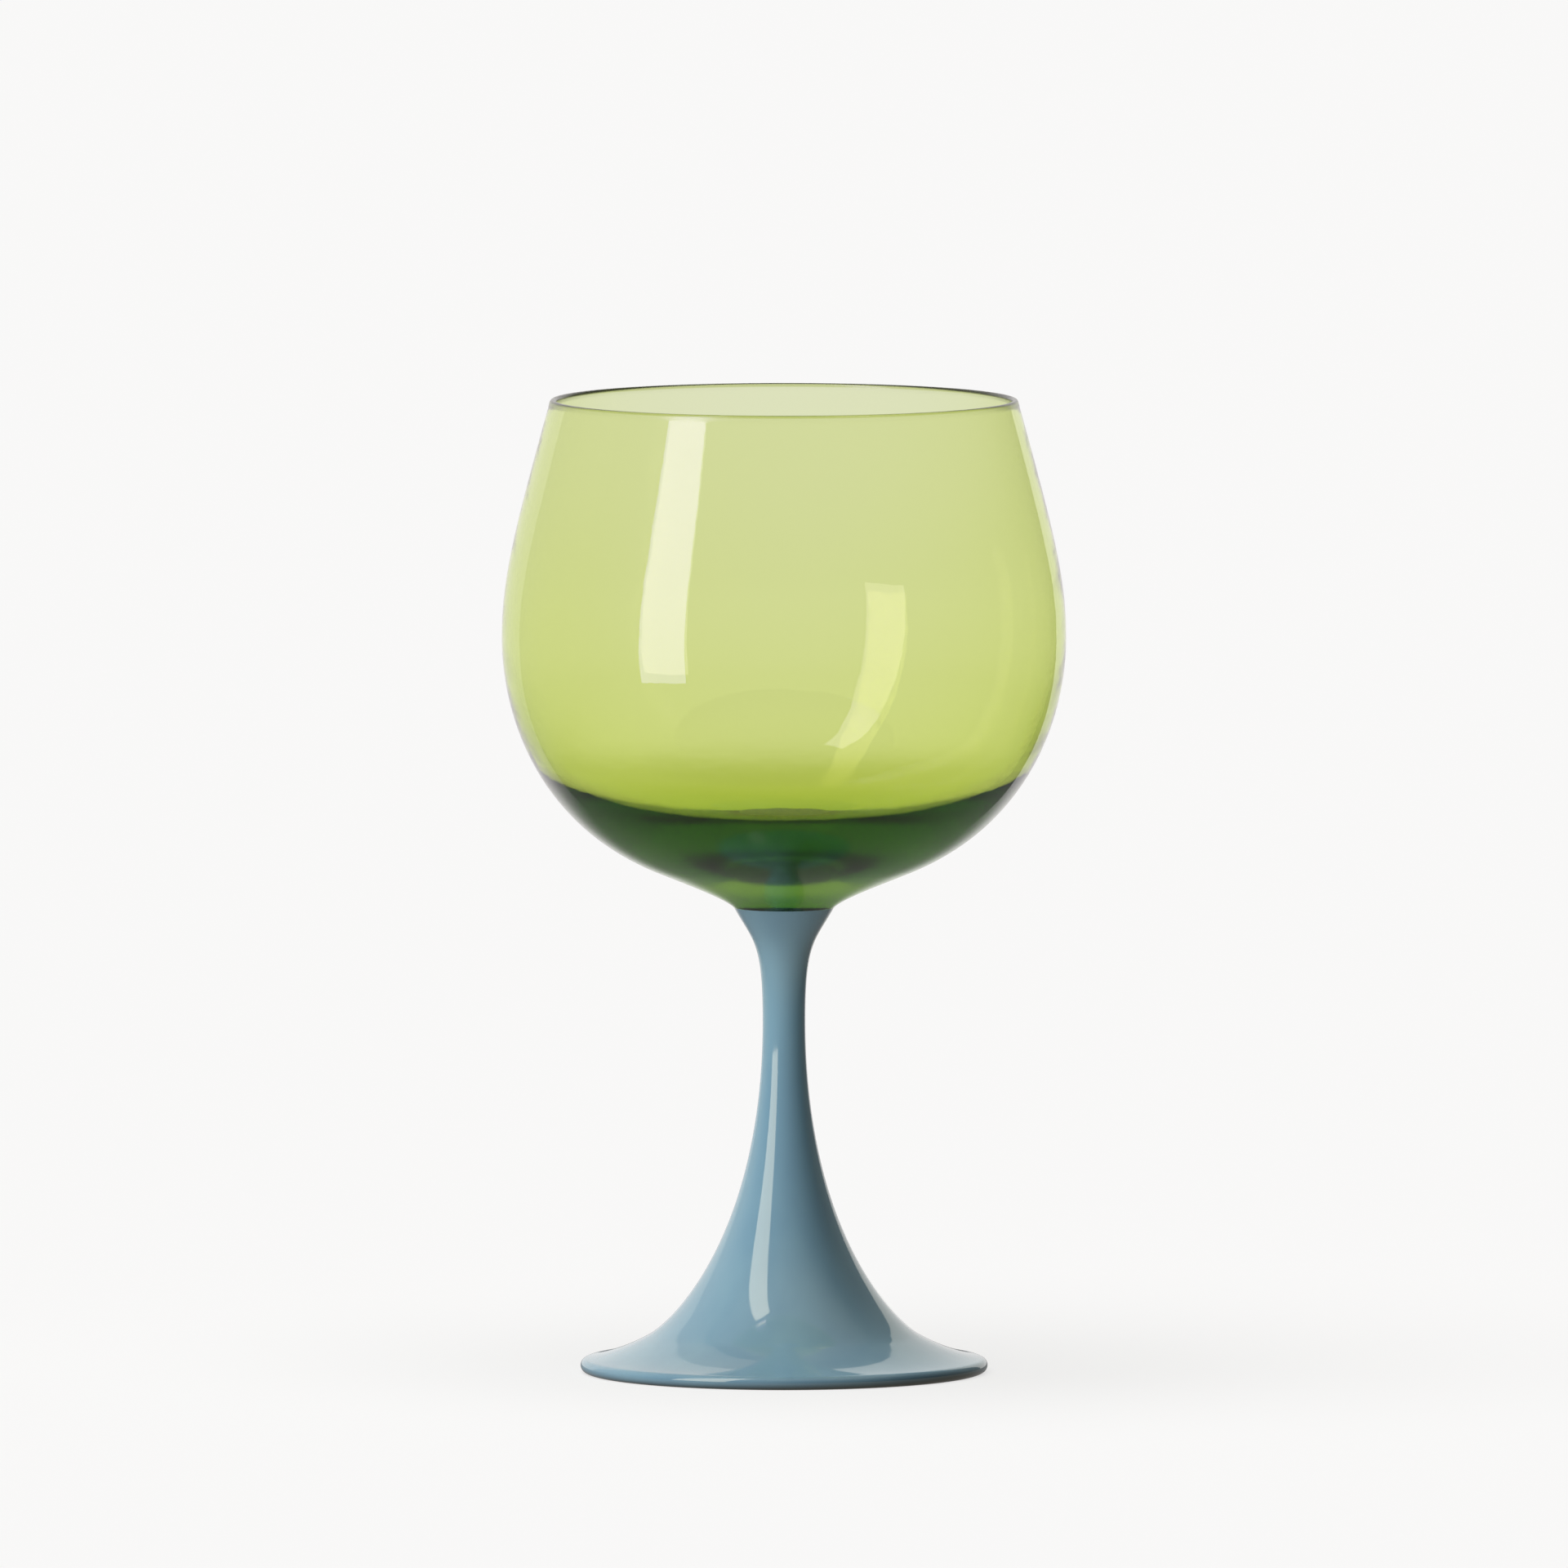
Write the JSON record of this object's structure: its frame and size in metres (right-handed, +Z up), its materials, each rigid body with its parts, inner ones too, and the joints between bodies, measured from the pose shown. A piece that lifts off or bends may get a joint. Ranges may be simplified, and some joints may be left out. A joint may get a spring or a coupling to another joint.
{
  "type": "wine glass",
  "caption": "Round-bellied goblet of clear green glass, open at the top, fused to an opaque blue stem that flares into a hollow trumpet foot.",
  "frame": {"origin": "on the axis, in the plane the foot stands on", "axes": "+Z up along the axis of the glass, from the foot to the rim; X and Y are any two directions across it, because it is round"},
  "size_m": [0.1072, 0.1072, 0.1852],
  "materials": {
    "green_glass": "clear yellow-green glass, fire-polished, with faint ripples low in the bowl",
    "blue_glass": "opaque grey-blue glass, fire-polished and glossy"
  },
  "bodies": {
    "root": {"bowl": "green_glass", "stem": "blue_glass", "foot": "blue_glass"}
  },
  "joints": []
}
